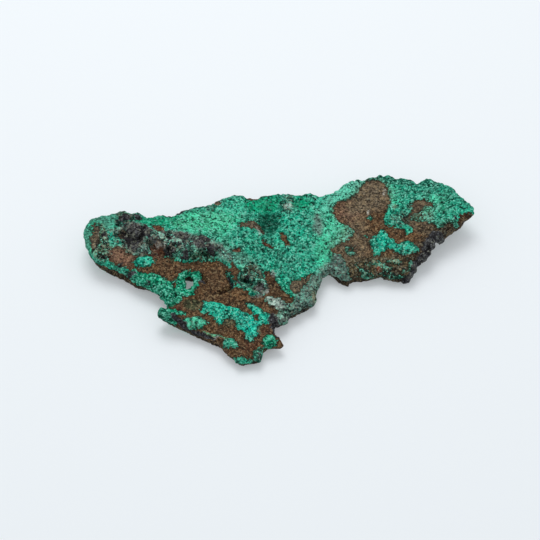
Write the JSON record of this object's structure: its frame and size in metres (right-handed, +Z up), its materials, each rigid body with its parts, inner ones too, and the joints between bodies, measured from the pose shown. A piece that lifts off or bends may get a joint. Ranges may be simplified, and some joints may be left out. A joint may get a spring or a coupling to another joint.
{
  "type": "native copper nugget",
  "caption": "Thin ragged sheet of native copper, crusted with green malachite over bare brown oxidised metal, pierced by one small hole and lying flat.",
  "frame": {"origin": "middle of the bounding box in plan, on the surface that the nugget lies on", "axes": "+X along the length towards the pointed right end, +Y towards the straighter back edge, +Z up out of the upper face"},
  "size_m": [0.103, 0.0606, 0.0085],
  "materials": {
    "copper_nugget": "rough granular malachite crust, mid green, with patches of dull brown to purple-black oxidised copper"
  },
  "bodies": {
    "root": {"copper_nugget": "copper_nugget"}
  },
  "joints": []
}
